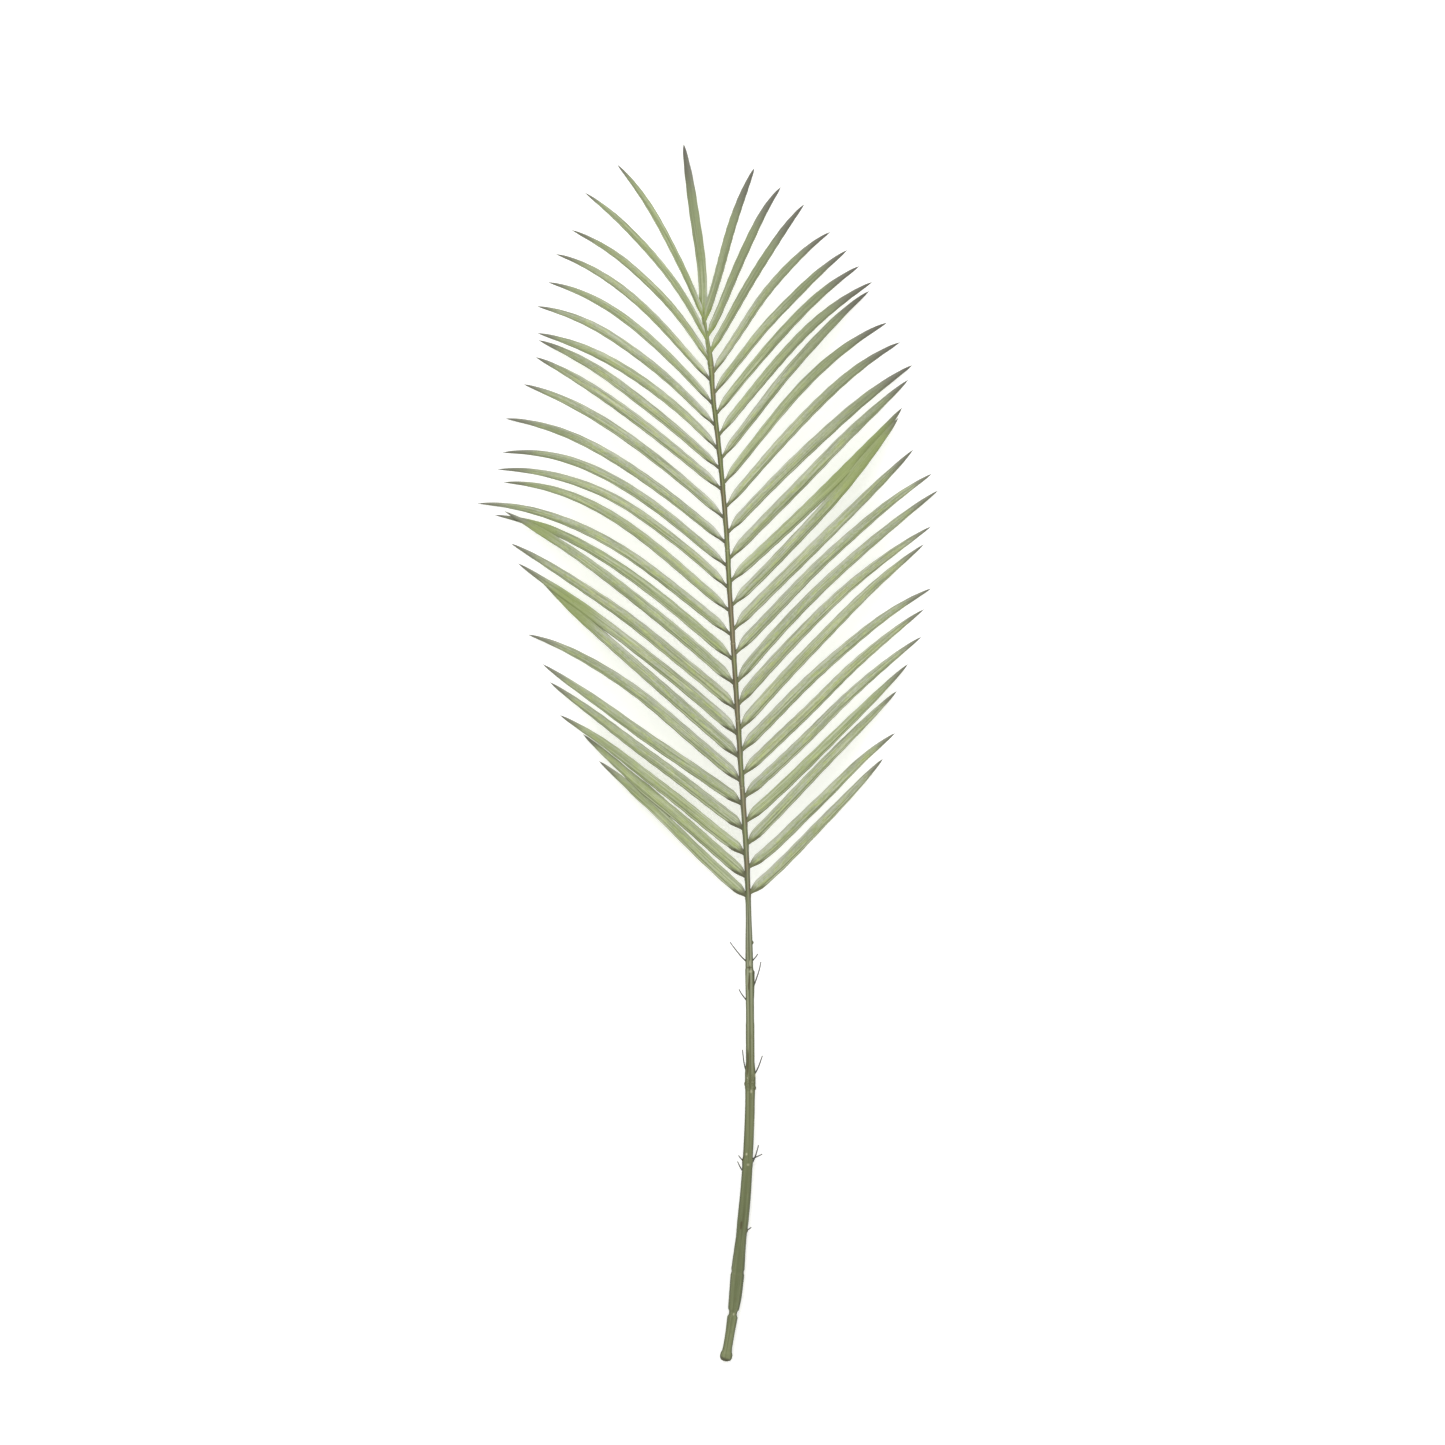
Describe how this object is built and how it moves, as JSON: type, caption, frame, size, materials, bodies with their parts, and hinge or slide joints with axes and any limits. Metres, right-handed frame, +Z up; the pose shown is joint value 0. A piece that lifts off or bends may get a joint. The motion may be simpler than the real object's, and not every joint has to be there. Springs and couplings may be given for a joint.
{
  "type": "dried palm frond",
  "caption": "Dried feather-shaped palm frond that lies flat: a long arched stalk with slender, pointed, folded leaflets along both sides.",
  "frame": {"origin": "on the surface that the frond lies on, under the middle of its outline", "axes": "+Y from the cut end to the tip, +X across the frond, +Z up from the surface"},
  "size_m": [0.4564, 1.216, 0.0397],
  "materials": {
    "leaf": "dry matt leaf, pale sage green"
  },
  "bodies": {
    "root": {"frond": "leaf"}
  },
  "joints": []
}
